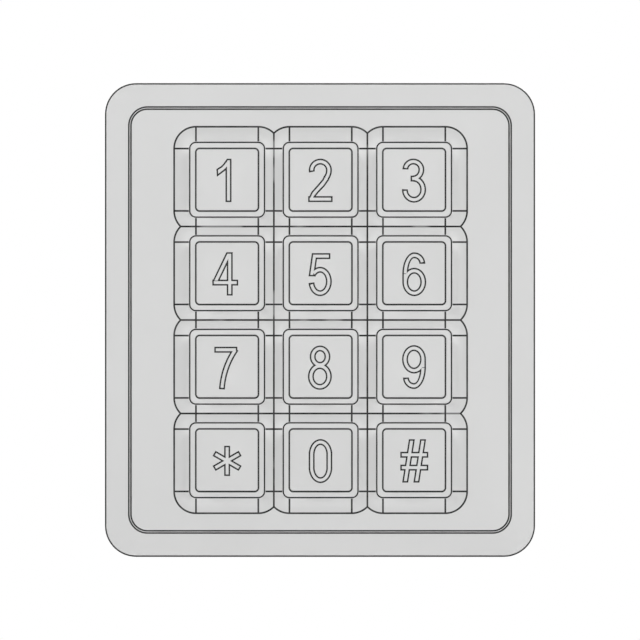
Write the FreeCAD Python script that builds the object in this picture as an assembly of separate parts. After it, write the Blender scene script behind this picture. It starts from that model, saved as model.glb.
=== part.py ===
import FreeCAD, Part
import math
import os

# Keypad access reader for a wall: a moulded housing with an inset metal face plate, twelve stepped keys,
# a silicone switch mat, a circuit board with screw terminals, and a wall plate that the housing hooks onto.
# Millimetres. X runs to the right as a person faces the keys, Z runs up, and Y runs into the wall.
# The wall is the plane Y = 0, and the origin is the middle of the face that rests on it.

# ---- Key field -------------------------------------------------------------------------------------
key_pitch = 15.0            # centre to centre, both ways
key_field_shift = 0.1       # the whole key field sits this far right of the housing's middle
key_columns = 3
key_rows = 4
key_web = 2.8               # plate left between two key holes
key_hole_corner = 1.1
key_guide_gap = 0.2         # each side, key in its hole
key_shoulder = 1.0          # flat ledge round the raised part of a key
key_top_corner = 0.5
key_top_round = 0.12        # rounding of the key's front edge
key_proud = 0.5             # how far a key stands out of the face plate
key_wall = 1.2
key_flange_gap = 1.6        # between the rear flanges of two keys
key_flange_thickness = 0.95
key_rest_gap = 0.05         # flange to housing floor when a key is up
key_post_radius = 2.5
key_travel = 0.8

# ---- Finger dish round each key --------------------------------------------------------------------
dish_width = 2.4
dish_depth = 1.2
dish_outer_slope = 13.0     # degrees, where the dish meets the plate's face
dish_inner_slope = 38.0     # degrees, where it meets the key hole
dish_lip = 0.1              # small edge break at the hole

# ---- Legends ---------------------------------------------------------------------------------------
legend_weight = 0.71        # stroke width, to the middle of the gap on each side
legend_gap = 0.25           # between a legend and its pocket
legend_pocket_depth = 0.5
legend_recess = 0.12        # legend's face below the key's face

# ---- Face plate and housing ------------------------------------------------------------------------
side_border = 6.85          # plain plate beside the outer dishes
end_border = 2.85           # plain plate above and below them
plate_thickness = 2.9
plate_corner = 2.7
plate_edge_round = 0.12
seam = 0.3                  # gap all round the plate
seal_thickness = 0.3
seal_side_gap = 0.05
rim_width = 3.85            # housing visible round the plate
housing_corner = 5.0
housing_edge_round = 0.35
housing_wall = 2.0
floor_thickness = 1.6
floor_hole_gap = 0.2        # housing's key opening, wider than the plate's by this each side
wall_shadow_gap = 0.4       # housing's rear edge stands this far off the wall

# ---- Switch mat ------------------------------------------------------------------------------------
mat_web = 1.0
dome_height = 2.6
dome_base_radius = 5.4
dome_waist_radius = 3.0
dome_boss_radius = 2.7
dome_boss_height = 1.4
dome_skin = 0.5             # thickness of the flexing cone, along Y
pill_radius = 2.0
pill_thickness = 0.5
pill_seat_margin = 0.2      # boss round its pill
vent_width = 1.0
vent_depth = 0.4
mat_corner = 2.0
clamp_rib_gap = 1.3         # key flange to the rib that clamps the mat
clamp_rib_width = 1.2
mat_overhang = 0.4          # mat outside the rib

# ---- Circuit board and what is on it ---------------------------------------------------------------
board_thickness = 1.6
board_corner = 1.5
board_margin = 3.0          # board outside the screw centres
standoff_radius = 2.2
standoff_gap = 0.4
standoff_end_inset = 2.0    # corner standoffs in from the mat's end
component_room = 8.8        # from the board to the wall plate
lead_gap = 0.02             # parts stand this far off the board's copper
lamp_width = 1.6
lamp_depth = 0.8
lamp_height = 0.6
lamp_window_gap = 0.5       # mat's window, wider than a lamp by this each side
terminal_count = 8
terminal_pitch = 3.5
terminal_z = 4.0
terminal_depth = 7.2
terminal_top_gap = 0.8      # terminal block to the wall plate
terminal_screw_radius = 1.2
terminal_wire = 2.2         # side of each wire's square opening
buzzer_radius = 6.0
buzzer_z = -25.0
buzzer_top_gap = 2.8

# ---- Fasteners -------------------------------------------------------------------------------------
stud_radius = 1.0
stud_hole_gap = 0.2
stud_tail = 0.6             # stud beyond its nut
nut_flat_radius = 2.0       # M2 nut, across flats over two
nut_thickness = 1.6
nut_bore_gap = 0.03
board_screw_radius = 0.88
board_screw_bore_gap = 0.03
board_screw_head_radius = 1.9
board_screw_head_height = 1.4
board_screw_length = 4.0
board_hole_gap = 0.25
lock_screw_radius = 1.5
lock_screw_head_radius = 2.75
lock_screw_head_height = 1.5
lock_screw_tip = 1.0        # screw beyond its insert
lock_screw_gap = 0.1
lock_screw_spread = 20.0    # each screw from the middle
lock_screw_from_wall = 5.6
insert_radius = 2.1
insert_bore_gap = 0.03

# ---- Wall plate ------------------------------------------------------------------------------------
wall_plate_thickness = 2.2
wall_plate_gap = 0.3        # wall plate inside the housing
wall_plate_corner = 2.7
wall_hole_radius = 2.25
wall_hole_sink = 1.5        # countersink, wider than the hole by this
wall_hole_inset = 5.7       # hole centre from the wall plate's end
rib_height = 1.6
rib_width = 1.2
hook_width = 8.0
hook_spread = 18.0
hook_reach = 4.0
hook_thickness = 1.6
hook_lip = 1.2              # how far a hook enters the housing's wall
hook_gap = 0.3
lug_width = 7.0
lug_height = 5.0
lug_gap = 0.4               # lug to the housing's lower wall
lug_front_wall = 1.3
foam_inset = 0.8
foam_width = 1.8
foam_depth = 1.2
cable_radius = 3.5
cable_z = -14.0
grommet_neck_radius = 6.0
grommet_flange_radius = 8.0
grommet_flange_thickness = 1.0
grommet_gap = 0.1
relief_depth = 0.6          # shallow relief in the face towards the wall
relief_margin = 2.0

# ---- Tamper switch ---------------------------------------------------------------------------------
tamper_x = 16.0
tamper_z = 14.0
tamper_body_side = 6.2
tamper_button_radius = 1.7
tamper_button_height = 1.6
tamper_button_gap = 0.05    # button to the pressed plunger
plunger_radius = 2.0
plunger_gap = 0.2
plunger_collar_radius = 3.2
plunger_collar_thickness = 0.9
plunger_travel = 1.2
plunger_recess = 0.05       # plunger's end below the wall's plane when pressed
spring_wire_radius = 0.15
spring_turns = 2.5
spring_gap = 0.12

# ---- Worked out from the sizes above ---------------------------------------------------------------
key_hole = key_pitch - key_web
key_body = key_hole - 2 * key_guide_gap
key_top = key_body - 2 * key_shoulder
key_flange = key_pitch - key_flange_gap
floor_hole = key_hole + 2 * floor_hole_gap
dish_corner = key_hole_corner + dish_width

field_width = (key_columns - 1) * key_pitch
field_height = (key_rows - 1) * key_pitch
plate_width = field_width + key_hole + 2 * (dish_width + side_border)
plate_height = field_height + key_hole + 2 * (dish_width + end_border)
recess_width = plate_width + 2 * seam
recess_height = plate_height + 2 * seam
recess_corner = plate_corner + seam
housing_width = recess_width + 2 * rim_width
housing_height = recess_height + 2 * rim_width
cavity_width = housing_width - 2 * housing_wall
cavity_height = housing_height - 2 * housing_wall
cavity_corner = housing_corner - housing_wall

rib_inner_x = (field_width + key_flange) / 2 + clamp_rib_gap
rib_inner_z = (field_height + key_flange) / 2 + clamp_rib_gap
mat_half_x = rib_inner_x + clamp_rib_width + mat_overhang
mat_half_z = rib_inner_z + clamp_rib_width + mat_overhang
standoff_x = mat_half_x + standoff_gap + standoff_radius
standoff_z = mat_half_z - standoff_end_inset
board_half_x = standoff_x + board_margin
board_half_z = standoff_z + board_margin
nut_corner_radius = nut_flat_radius / math.cos(math.pi / 6)
stud_x = rib_inner_x + clamp_rib_width + standoff_gap + nut_corner_radius
stud_z = standoff_z / 2

# Depths, counted from the wall (Y = 0) forwards, as negative Y.
wall_plate_front = -wall_plate_thickness
board_back = wall_plate_front - component_room
board_front = board_back - board_thickness
mat_front = board_front - mat_web
dome_top = mat_front - dome_height
key_back = dome_top
key_flange_front = key_back - key_flange_thickness
floor_back = key_flange_front - key_rest_gap
floor_front = floor_back - floor_thickness
plate_back = floor_front - seal_thickness
face = plate_back - plate_thickness
key_face = face - key_proud
key_ledge = face + dish_depth + dish_lip
housing_back = -wall_shadow_gap
nut_back = floor_back + nut_thickness
stud_end = nut_back + stud_tail
pill_back = board_front - key_travel
pill_front = pill_back - pill_thickness

wall_plate_width = cavity_width - 2 * wall_plate_gap
wall_plate_height = cavity_height - 2 * wall_plate_gap
wall_hole_z = wall_plate_height / 2 - wall_hole_inset
lock_y = -lock_screw_from_wall
lug_bottom = -cavity_height / 2 + lug_gap
lug_top = lug_bottom + lug_height
lug_front = lock_y - insert_radius - lug_front_wall
collar_back = wall_plate_front - rib_height - plunger_travel
collar_front = collar_back - plunger_collar_thickness
tamper_button_end = collar_front - tamper_button_gap
tamper_body_back = tamper_button_end - tamper_button_height

half_weight = legend_weight / 2
key_names = ["1", "2", "3", "4", "5", "6", "7", "8", "9", "star", "0", "hash"]
key_places = [
    (name, (i % key_columns - (key_columns - 1) / 2) * key_pitch + key_field_shift,
     ((key_rows - 1) / 2 - i // key_columns) * key_pitch)
    for i, name in enumerate(key_names)
]
# one lamp between each two keys of a row
lamp_places = [(x + key_pitch / 2, z) for _, x, z in key_places if x < field_width / 2 - key_pitch / 2]
terminal_places = [(k - (terminal_count - 1) / 2) * terminal_pitch for k in range(terminal_count)]
stud_places = [(sx * stud_x, sz * stud_z) for sx in (-1, 1) for sz in (-1, 1)]
standoff_places = [(sx * standoff_x, z) for sx in (-1, 1) for z in (-standoff_z, 0.0, standoff_z)]

V = FreeCAD.Vector
INTO_WALL = V(0, 1, 0)
UP = V(0, 0, 1)


# ---- Shape helpers ---------------------------------------------------------------------------------
def block(width, height, front, back, corner=0.0, x=0.0, z=0.0):
    """A prism along Y with a rounded rectangle for its section, centred on (x, z)."""
    corner = min(corner, 0.499 * width, 0.499 * height)
    if corner <= 0:
        return Part.makeBox(width, back - front, height, V(x - width / 2, front, z - height / 2))
    edges = []
    last = None
    for turn, (sx, sz) in enumerate(((1, 1), (-1, 1), (-1, -1), (1, -1))):
        centre = V(x + sx * (width / 2 - corner), front, z + sz * (height / 2 - corner))
        points = [
            centre + V(math.cos(a), 0, math.sin(a)) * corner
            for a in (math.pi / 2 * (turn + share) for share in (0, 0.5, 1))
        ]
        if last:
            edges.append(Part.LineSegment(last, points[0]).toShape())
        edges.append(Part.Arc(*points).toShape())
        last = points[2]
    first = edges[0].Vertexes[0].Point
    edges.append(Part.LineSegment(last, first).toShape())
    return Part.Face(Part.Wire(edges)).extrude(INTO_WALL * (back - front))


def disc(radius, front, back, x=0.0, z=0.0):
    """A cylinder along Y."""
    return Part.makeCylinder(radius, back - front, V(x, front, z), INTO_WALL)


def cone(front_radius, back_radius, front, back, x=0.0, z=0.0):
    """A cone along Y."""
    return Part.makeCone(front_radius, back_radius, back - front, V(x, front, z), INTO_WALL)


def ring(width, height, band, front, back, corner):
    """A rectangular frame of the given band width."""
    outer = block(width, height, front, back, corner)
    return outer.cut(block(width - 2 * band, height - 2 * band, front, back, max(corner - band, 0.3)))


def turned(outline, x, z):
    """A solid turned about a line along Y; the outline is (radius, Y) pairs."""
    points = [V(x + radius, y, z) for radius, y in outline]
    face_shape = Part.Face(Part.makePolygon(points + points[:1]))
    return face_shape.revolve(V(x, 0, z), INTO_WALL, 360)


def hexagon(flat_radius, front, back, x, z):
    """A hexagonal prism along Y."""
    reach = flat_radius / math.cos(math.pi / 6)
    points = [
        V(x + reach * math.cos(math.pi / 3 * k), front, z + reach * math.sin(math.pi / 3 * k))
        for k in range(6)
    ]
    return Part.Face(Part.makePolygon(points + points[:1])).extrude(INTO_WALL * (back - front))


def front_edges(shape, y, tolerance=1e-4):
    """The edges that lie wholly in the plane Y = y."""
    return [
        e for e in shape.Edges
        if abs(e.BoundBox.YMin - y) < tolerance and abs(e.BoundBox.YMax - y) < tolerance
    ]


def joined(shapes):
    """One fused shape with its needless seams removed."""
    return shapes[0].fuse(shapes[1:]).removeSplitter() if len(shapes) > 1 else shapes[0]


def moved(shape, x, z):
    """A copy of the shape, shifted across the face."""
    copy = shape.copy()
    copy.translate(V(x, 0, z))
    return copy


# ---- Legends: drawn in X and Z about the key's centre, as strokes --------------------------------
def stroke_prism(points, front, back):
    """A prism along Y from a closed outline of (x, z) points."""
    corners = [V(x, front, z) for x, z in points]
    return Part.Face(Part.makePolygon(corners + corners[:1])).extrude(INTO_WALL * (back - front))


def straight_sided(corners, front, back, grow):
    """A prism on corners given anticlockwise, with every side moved outwards by grow."""
    grown = []
    for k, (x, z) in enumerate(corners):
        before, after = corners[k - 1], corners[(k + 1) % len(corners)]
        along_in, along_out = math.dist(before, (x, z)), math.dist((x, z), after)
        in_x, in_z = (z - before[1]) / along_in, (before[0] - x) / along_in
        out_x, out_z = (after[1] - z) / along_out, (x - after[0]) / along_out
        move = grow / (1 + in_x * out_x + in_z * out_z)
        grown.append((x + move * (in_x + out_x), z + move * (in_z + out_z)))
    return stroke_prism(grown, front, back)


def bar(start, end, front, back, grow):
    """A straight stroke with square ends."""
    length = math.dist(start, end)
    half_x = half_weight * (end[1] - start[1]) / length
    half_z = half_weight * (start[0] - end[0]) / length
    corners = [
        (start[0] + half_x, start[1] + half_z),
        (end[0] + half_x, end[1] + half_z),
        (end[0] - half_x, end[1] - half_z),
        (start[0] - half_x, start[1] - half_z),
    ]
    return straight_sided(corners, front, back, grow)


def slant(start, end, front, back, grow):
    """A leaning stroke, given from its foot to its head, whose ends are cut level."""
    lean = (end[0] - start[0]) / (end[1] - start[1])
    half = half_weight * math.hypot(1, lean)
    corners = [
        (start[0] + half, start[1]),
        (end[0] + half, end[1]),
        (end[0] - half, end[1]),
        (start[0] - half, start[1]),
    ]
    return straight_sided(corners, front, back, grow)


def oval(centre, radius_x, radius_z, front, back):
    """An elliptical prism along Y."""
    middle = V(centre[0], front, centre[1])
    across, along = V(radius_x, 0, 0), V(0, 0, radius_z)
    if math.isclose(radius_x, radius_z):
        curve = Part.Circle(middle, INTO_WALL, radius_x)
    elif radius_x > radius_z:
        curve = Part.Ellipse(middle + across, middle + along, middle)
    else:
        curve = Part.Ellipse(middle + along, middle + across, middle)
    return Part.Face(Part.Wire(curve.toShape())).extrude(INTO_WALL * (back - front))


def bow(centre, radii, angles, front, back, grow):
    """A curved stroke along an ellipse, between two angles in degrees; 360 degrees closes it."""
    half = half_weight + grow
    band = oval(centre, radii[0] + half, radii[1] + half, front, back)
    band = band.cut(oval(centre, radii[0] - half, radii[1] - half, front, back))
    if angles[1] - angles[0] >= 360:
        return band
    reach = 3.0
    extra = grow / ((radii[0] + radii[1]) / 2)
    first, last = math.radians(angles[0]) - extra, math.radians(angles[1]) + extra
    steps = math.ceil((last - first) / math.radians(40))
    fan = [centre] + [
        (centre[0] + reach * radii[0] * math.cos(a), centre[1] + reach * radii[1] * math.sin(a))
        for a in (first + (last - first) * k / steps for k in range(steps + 1))
    ]
    return band.common(stroke_prism(fan, front, back))


legend_foot = -3.46
legend_head = 3.25
nine_turn = (legend_foot + legend_head) / 2

six_strokes = [
    (bow, (0.02, -1.4), (1.44, 1.8), (0, 360)),
    (bow, (0.02, -0.1), (1.44, 2.98), (84, 182)),
    (bow, (0.02, 1.5), (1.3, 1.38), (6, 96)),
    (bar, (-1.42, 0.0), (-1.42, -1.4)),
]
legend_strokes = {
    "0": [
        (bow, (-0.02, 0.9), (1.42, 2.02), (0, 180)),
        (bow, (-0.02, -1.15), (1.42, 2.04), (180, 360)),
        (bar, (-1.44, -1.45), (-1.44, 1.2)),
        (bar, (1.39, -1.45), (1.39, 1.2)),
    ],
    "1": [
        (straight_sided, (
            (-0.14, legend_foot), (0.58, legend_foot), (0.58, legend_head), (0.03, legend_head), (-0.14, 3.0),
        )),
        (bow, (-3.52, 4.99), (4.27, 4.27), (-57, -31)),
        (straight_sided, ((-1.53, 0.7), (-0.9, 1.18), (-0.9, 2.08), (-1.6, 1.63))),
    ],
    "2": [
        (bow, (-0.05, 1.53), (1.38, 1.38), (-6, 187)),
        (bow, (-0.05, 1.53), (1.38, 1.72), (-54, 6)),
        (straight_sided, (
            (-1.88, legend_foot), (-1.2, legend_foot), (-1.03, -2.75), (-0.44, -2.0), (0.52, -1.0), (1.22, 0.0),
            (1.32, 0.25), (0.6, 0.45), (0.38, 0.0), (-0.46, -1.0), (-1.36, -2.0), (-1.83, -3.0),
        )),
        (bar, (-1.88, legend_foot + half_weight), (1.8, legend_foot + half_weight)),
    ],
    "3": [
        (bow, (-0.12, 1.64), (1.28, 1.28), (-6, 174)),
        (bow, (-0.12, 1.64), (1.28, 1.42), (-90, 6)),
        (bow, (-0.02, -1.6), (1.46, 1.75), (-6, 90)),
        (bow, (-0.02, -1.6), (1.46, 1.6), (-178, 6)),
        (bar, (-0.45, 0.19), (0.15, 0.19)),
    ],
    "4": [
        (bar, (0.42, legend_foot), (0.42, legend_head)),
        (bar, (-2.25, -1.5), (1.65, -1.5)),
        (slant, (-1.84, -1.3), (0.36, legend_head)),
    ],
    "5": [
        (bar, (-1.26, 2.75), (1.44, 2.75)),
        (slant, (-1.44, -0.38), (-0.94, 2.75 + half_weight)),
        (bow, (-0.08, -1.32), (1.4, 1.88), (-170, 141)),
    ],
    "6": six_strokes,
    "7": [
        (bar, (-1.93, 2.73), (1.52, 2.73)),
        (bow, (11.74, -4.38), (12.6, 12.6), (145.5, 176)),
    ],
    "8": [
        (bow, (-0.09, 1.62), (1.18, 1.31), (0, 360)),
        (bow, (-0.12, -1.56), (1.44, 1.66), (0, 360)),
    ],
    "9": six_strokes,
    "star": [
        (bar, (-2.3 * math.cos(a), -0.1 - 2.3 * math.sin(a)), (2.3 * math.cos(a), -0.1 + 2.3 * math.sin(a)))
        for a in (math.radians(30), math.radians(90), math.radians(150))
    ],
    "hash": [
        (slant, (-1.42, legend_foot), (-0.38, legend_head)),
        (slant, (0.38, legend_foot), (1.42, legend_head)),
        (bar, (-2.1, 0.88), (2.15, 0.88)),
        (bar, (-2.1, -1.18), (2.15, -1.18)),
    ],
}


def legend_prism(name, front, back, grow):
    """The numeral or sign as a prism, grown all round by grow; a 9 is a 6 turned half round."""
    strokes = [maker(*facts, front, back, grow) for maker, *facts in legend_strokes[name]]
    shape = joined(strokes)
    if name == "9":
        shape.rotate(V(0, 0, nine_turn), INTO_WALL, 180)
    return shape


# ---- Face plate ------------------------------------------------------------------------------------
def well_cutter():
    """What is cut away at one key: the square hole and the dish that flares from it to the plate's face."""
    core = key_hole / 2 - key_hole_corner
    above = face - 1.0
    below = plate_back + 1.0
    outer = V(dish_corner, face, 0)
    inner = V(key_hole_corner + dish_lip, face + dish_depth, 0)
    rise_out = math.tan(math.radians(dish_outer_slope))
    rise_in = math.tan(math.radians(dish_inner_slope))
    # the two end tangents meet at the curve's middle pole
    pole_x = (inner.y - outer.y + rise_in * inner.x - rise_out * outer.x) / (rise_in - rise_out)
    pole = V(pole_x, outer.y + rise_out * (outer.x - pole_x), 0)
    curve = Part.BezierCurve()
    curve.setPoles([outer, pole, inner])
    corners = [
        inner,
        V(key_hole_corner, key_ledge, 0),
        V(key_hole_corner, below, 0),
        V(0, below, 0),
        V(0, above, 0),
        V(dish_corner, above, 0),
        outer,
    ]
    profile = Part.Face(Part.Wire([curve.toShape(), *Part.makePolygon(corners).Edges]))
    pieces = [block(2 * core, 2 * core, above, below)]
    for turn in range(4):
        corner = profile.copy()
        corner.translate(V(core, 0, core))
        corner = corner.revolve(V(core, 0, core), INTO_WALL, -90)
        side = profile.copy()
        side.translate(V(core, 0, -core))
        side = side.extrude(V(0, 0, 2 * core))
        for piece in (corner, side):
            piece.rotate(V(0, 0, 0), INTO_WALL, 90 * turn)
            pieces.append(piece)
    return joined(pieces)


def face_plate():
    plate = block(plate_width, plate_height, face, plate_back, plate_corner)
    plate = plate.makeFillet(plate_edge_round, front_edges(plate, face))
    cutter = well_cutter()
    for _, x, z in key_places:
        plate = plate.cut(moved(cutter, x, z))
    studs = [disc(stud_radius, plate_back, stud_end, x, z) for x, z in stud_places]
    return joined([plate, *studs])


def plate_seal():
    """Foam film under the plate; it also closes the bottom of the seam round it."""
    width, height = recess_width - 2 * seal_side_gap, recess_height - 2 * seal_side_gap
    seal = block(width, height, plate_back, floor_front, recess_corner - seal_side_gap)
    holes = [
        block(floor_hole, floor_hole, plate_back, floor_front, key_hole_corner, x, z)
        for _, x, z in key_places
    ]
    holes += [disc(stud_radius + stud_hole_gap, plate_back, floor_front, x, z) for x, z in stud_places]
    return seal.cut(holes)


def plate_nuts():
    bore = stud_radius + nut_bore_gap
    nuts = [
        hexagon(nut_flat_radius, floor_back, nut_back, x, z).cut(disc(bore, floor_back, nut_back, x, z))
        for x, z in stud_places
    ]
    return Part.makeCompound(nuts)


# ---- Keys ------------------------------------------------------------------------------------------
def key_blank():
    """A key with no legend: raised top, ledge, square guide, rear flange, and a post inside for the mat."""
    top = block(key_top, key_top, key_face, key_ledge, key_top_corner)
    top = top.makeFillet(key_top_round, front_edges(top, key_face))
    body_corner = key_hole_corner - key_guide_gap
    body = block(key_body, key_body, key_ledge, key_flange_front, body_corner)
    body = body.makeFillet(dish_lip, front_edges(body, key_ledge))
    flange = block(key_flange, key_flange, key_flange_front, key_back, body_corner + key_wall)
    blank = joined([top, body, flange])
    inside = key_top - 2 * key_wall
    hollow = block(inside, inside, key_face + legend_pocket_depth + key_wall, key_back, key_top_corner)
    post = disc(key_post_radius, key_face + legend_pocket_depth, key_back)
    return blank.cut(hollow).fuse(post).removeSplitter()


def key_cap(blank, name):
    pocket = legend_prism(name, key_face - 1.0, key_face + legend_pocket_depth, legend_gap / 2)
    return blank.cut(pocket)


def key_legend(name):
    return legend_prism(name, key_face + legend_recess, key_face + legend_pocket_depth, -legend_gap / 2)


# ---- Housing ---------------------------------------------------------------------------------------
def lock_screw_hole(x):
    """Countersunk hole through the housing's lower wall."""
    bottom = -housing_height / 2
    hole = Part.makeCylinder(lock_screw_radius + lock_screw_gap, housing_wall, V(x, lock_y, bottom), UP)
    wide = lock_screw_head_radius + lock_screw_gap
    narrow = lock_screw_radius + lock_screw_gap
    sink = Part.makeCone(wide, narrow, lock_screw_head_height, V(x, lock_y, bottom), UP)
    return hole.fuse(sink)


def sound_holes():
    """A row of small holes under the buzzer, in the lower wall."""
    radius, step, count = 0.6, 2.4, 5
    return [
        Part.makeCylinder(radius, 2 * housing_wall,
                          V((k - (count - 1) / 2) * step, board_back + component_room / 2,
                            -housing_height / 2 - housing_wall / 2), UP)
        for k in range(count)
    ]


def housing():
    shell = block(housing_width, housing_height, face, housing_back, housing_corner)
    shell = shell.makeFillet(housing_edge_round, front_edges(shell, face))
    shell = shell.makeChamfer(housing_edge_round, front_edges(shell, housing_back))
    shell = shell.cut(block(recess_width, recess_height, face - 1, floor_front, recess_corner))
    shell = shell.cut(block(cavity_width, cavity_height, floor_back, housing_back + 1, cavity_corner))
    cuts = [
        block(floor_hole, floor_hole, floor_front - 1, floor_back + 1, key_hole_corner + floor_hole_gap, x, z)
        for _, x, z in key_places
    ]
    cuts += [disc(stud_radius + stud_hole_gap, floor_front - 1, floor_back + 1, x, z) for x, z in stud_places]
    cuts += [lock_screw_hole(side * lock_screw_spread) for side in (-1, 1)]
    cuts += sound_holes()
    slot_front = wall_plate_front - hook_reach - hook_gap
    slot_back = slot_front + hook_thickness + 2 * hook_gap
    for side in (-1, 1):
        cuts.append(
            Part.makeBox(hook_width + 2 * hook_gap, slot_back - slot_front, hook_lip,
                         V(side * hook_spread - hook_width / 2 - hook_gap, slot_front, cavity_height / 2))
        )
    shell = shell.cut(cuts)
    clamp_rib = ring(2 * (rib_inner_x + clamp_rib_width), 2 * (rib_inner_z + clamp_rib_width),
                     clamp_rib_width, floor_back, mat_front, mat_corner)
    pilot = board_screw_radius + board_screw_bore_gap
    standoffs = [
        disc(standoff_radius, floor_back, board_front, x, z).cut(
            disc(pilot, board_back - board_screw_length - board_screw_bore_gap, board_front, x, z))
        for x, z in standoff_places
    ]
    return joined([shell, clamp_rib, *standoffs])


# ---- Switch mat ------------------------------------------------------------------------------------
def dome_outline():
    """The solid of revolution that stands on the web, as (radius, Y) pairs."""
    boss_foot = dome_top + dome_boss_height
    return [
        (0, mat_front + mat_web),
        (dome_base_radius, mat_front + mat_web),
        (dome_base_radius, mat_front),
        (dome_waist_radius, boss_foot),
        (dome_boss_radius, boss_foot),
        (dome_boss_radius, dome_top),
        (0, dome_top),
    ]


def dome_hollow():
    """The space under a dome: a flexing cone's inside, round the lower end of the boss."""
    slope = (mat_front - dome_top - dome_boss_height) / (dome_base_radius - dome_waist_radius)
    inner_radius = dome_base_radius - dome_skin
    seat_radius = pill_radius + pill_seat_margin
    roof = dome_top + dome_boss_height + dome_skin
    return [
        (0, board_front),
        (inner_radius, board_front),
        (inner_radius, mat_front + dome_skin * (1 - slope)),
        (dome_waist_radius, roof),
        (seat_radius, roof),
        (seat_radius, pill_front),
        (0, pill_front),
    ]


def keypad_mat():
    mat = block(2 * mat_half_x, 2 * mat_half_z, mat_front, board_front, mat_corner)
    solids = [turned(dome_outline(), x, z) for _, x, z in key_places]
    mat = joined([mat, *solids])
    cuts = [turned(dome_hollow(), x, z) for _, x, z in key_places]
    vent_front = board_front - vent_depth
    for row in range(key_rows):
        z = (row - (key_rows - 1) / 2) * key_pitch
        cuts.append(block(field_width, vent_width, vent_front, board_front, 0, key_field_shift, z))
    for column in range(key_columns):
        x = (column - (key_columns - 1) / 2) * key_pitch + key_field_shift
        cuts.append(block(vent_width, field_height, vent_front, board_front, 0, x, 0))
    window_width, window_height = lamp_width + 2 * lamp_window_gap, lamp_depth + 2 * lamp_window_gap
    cuts += [
        block(window_width, window_height, mat_front, board_front, lamp_window_gap, x, z)
        for x, z in lamp_places
    ]
    return mat.cut(cuts)


def contact_pills():
    return Part.makeCompound([disc(pill_radius, pill_front, pill_back, x, z) for _, x, z in key_places])


# ---- Circuit board ---------------------------------------------------------------------------------
def circuit_board():
    board = block(2 * board_half_x, 2 * board_half_z, board_front, board_back, board_corner)
    hole = board_screw_radius + board_hole_gap
    return board.cut([disc(hole, board_front, board_back, x, z) for x, z in standoff_places])


def board_screws():
    screws = []
    head_end = board_back + board_screw_head_height
    for x, z in standoff_places:
        shank = disc(board_screw_radius, board_back - board_screw_length, board_back, x, z)
        head = disc(board_screw_head_radius, board_back, head_end, x, z)
        head = head.makeFillet(0.4, front_edges(head, head_end))
        slot = board_screw_head_radius * 1.1
        cross = [
            block(slot, 0.45, head_end - 0.7, head_end, 0, x, z),
            block(0.45, slot, head_end - 0.7, head_end, 0, x, z),
        ]
        screws.append(shank.fuse(head).removeSplitter().cut(cross))
    return Part.makeCompound(screws)


def on_board(width, height, tall, x, z, corner=0.0):
    """A plain body standing on the board's rear face."""
    start = board_back + lead_gap
    return block(width, height, start, start + tall, corner, x, z)


def backlight_lamps():
    back = board_front - lead_gap
    return Part.makeCompound([
        block(lamp_width, lamp_depth, back - lamp_height, back, 0, x, z) for x, z in lamp_places
    ])


def controller_chip():
    x, z, side, tall = -13.0, 20.0, 7.0, 1.2
    body = on_board(side, side, tall, x, z)
    start = board_back + lead_gap
    leads = []
    pitch, count, reach = 0.8, 8, 1.0
    for turn in range(4):
        for k in range(count):
            offset = (k - (count - 1) / 2) * pitch
            lead = Part.makeBox(reach, 0.5, 0.35, V(side / 2, start, offset - 0.175))
            lead.rotate(V(0, 0, 0), INTO_WALL, 90 * turn)
            lead.translate(V(x, 0, z))
            leads.append(lead)
    return joined([body, *leads])


def buzzer():
    sound_hole, hole_depth, edge = 1.0, 1.0, 0.5
    end = wall_plate_front - buzzer_top_gap
    can = disc(buzzer_radius, board_back + lead_gap, end, 0, buzzer_z)
    can = can.makeFillet(edge, front_edges(can, end))
    return can.cut(disc(sound_hole, end - hole_depth, end, 0, buzzer_z))


def terminal_block():
    start = board_back + lead_gap
    end = wall_plate_front - terminal_top_gap
    body = block(terminal_count * terminal_pitch, terminal_depth, start, end, 0, 0, terminal_z)
    wells = [disc(terminal_screw_radius + 0.25, end - 2.0, end, x, terminal_z + 0.6) for x in terminal_places]
    wire_doors = [
        Part.makeBox(terminal_wire, terminal_wire, 3.5,
                     V(x - terminal_wire / 2, start + 2.2, terminal_z - terminal_depth / 2))
        for x in terminal_places
    ]
    return body.cut(wells + wire_doors)


def terminal_screws():
    end = wall_plate_front - terminal_top_gap - 0.5
    screws = []
    for x in terminal_places:
        screw = disc(terminal_screw_radius, end - 1.5, end, x, terminal_z + 0.6)
        slot = block(2 * terminal_screw_radius, 0.4, end - 0.6, end, 0, x, terminal_z + 0.6)
        screws.append(screw.cut(slot))
    return Part.makeCompound(screws)


def capacitors():
    start = board_back + lead_gap
    tall = component_room - 2.2
    cans = []
    for x, z in ((23.5, 21.5), (23.5, 11.0)):
        can = disc(2.9, start + 0.6, start + tall, x, z)
        can = can.makeFillet(0.35, front_edges(can, start + tall))
        foot = on_board(6.2, 6.2, 0.6, x, z, 0.8)
        cans.append(joined([foot, can]))
    return Part.makeCompound(cans)


def voltage_regulator():
    x, z = 8.0, 24.5
    body = on_board(6.5, 5.6, 2.3, x, z)
    tab = on_board(5.4, 1.4, 0.6, x, z + 3.5)
    legs = [on_board(0.9, 2.4, 0.6, x + side * 2.3, z - 4.0) for side in (-1, 1)]
    return joined([body, tab, *legs])


def crystal():
    can = on_board(10.4, 4.2, 3.4, -14.0, 28.5, 2.05)
    return can


def chip_parts():
    """Small resistors and capacitors, in short rows beside the larger parts."""
    rows = [(-24.0, 13.0, 5, 0), (-24.0, 24.0, 4, 0), (-4.0, 17.0, 3, 1), (2.0, 15.0, 4, 1), (-21.0, -14.0, 6, 1),
            (12.0, -14.0, 5, 1), (20.0, -26.0, 3, 0)]
    parts = []
    for x, z, count, across in rows:
        for k in range(count):
            step = 2.2 * k
            if across:
                parts.append(on_board(0.8, 1.6, 0.5, x + step, z))
            else:
                parts.append(on_board(1.6, 0.8, 0.5, x, z - step))
    return Part.makeCompound(parts)


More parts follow.
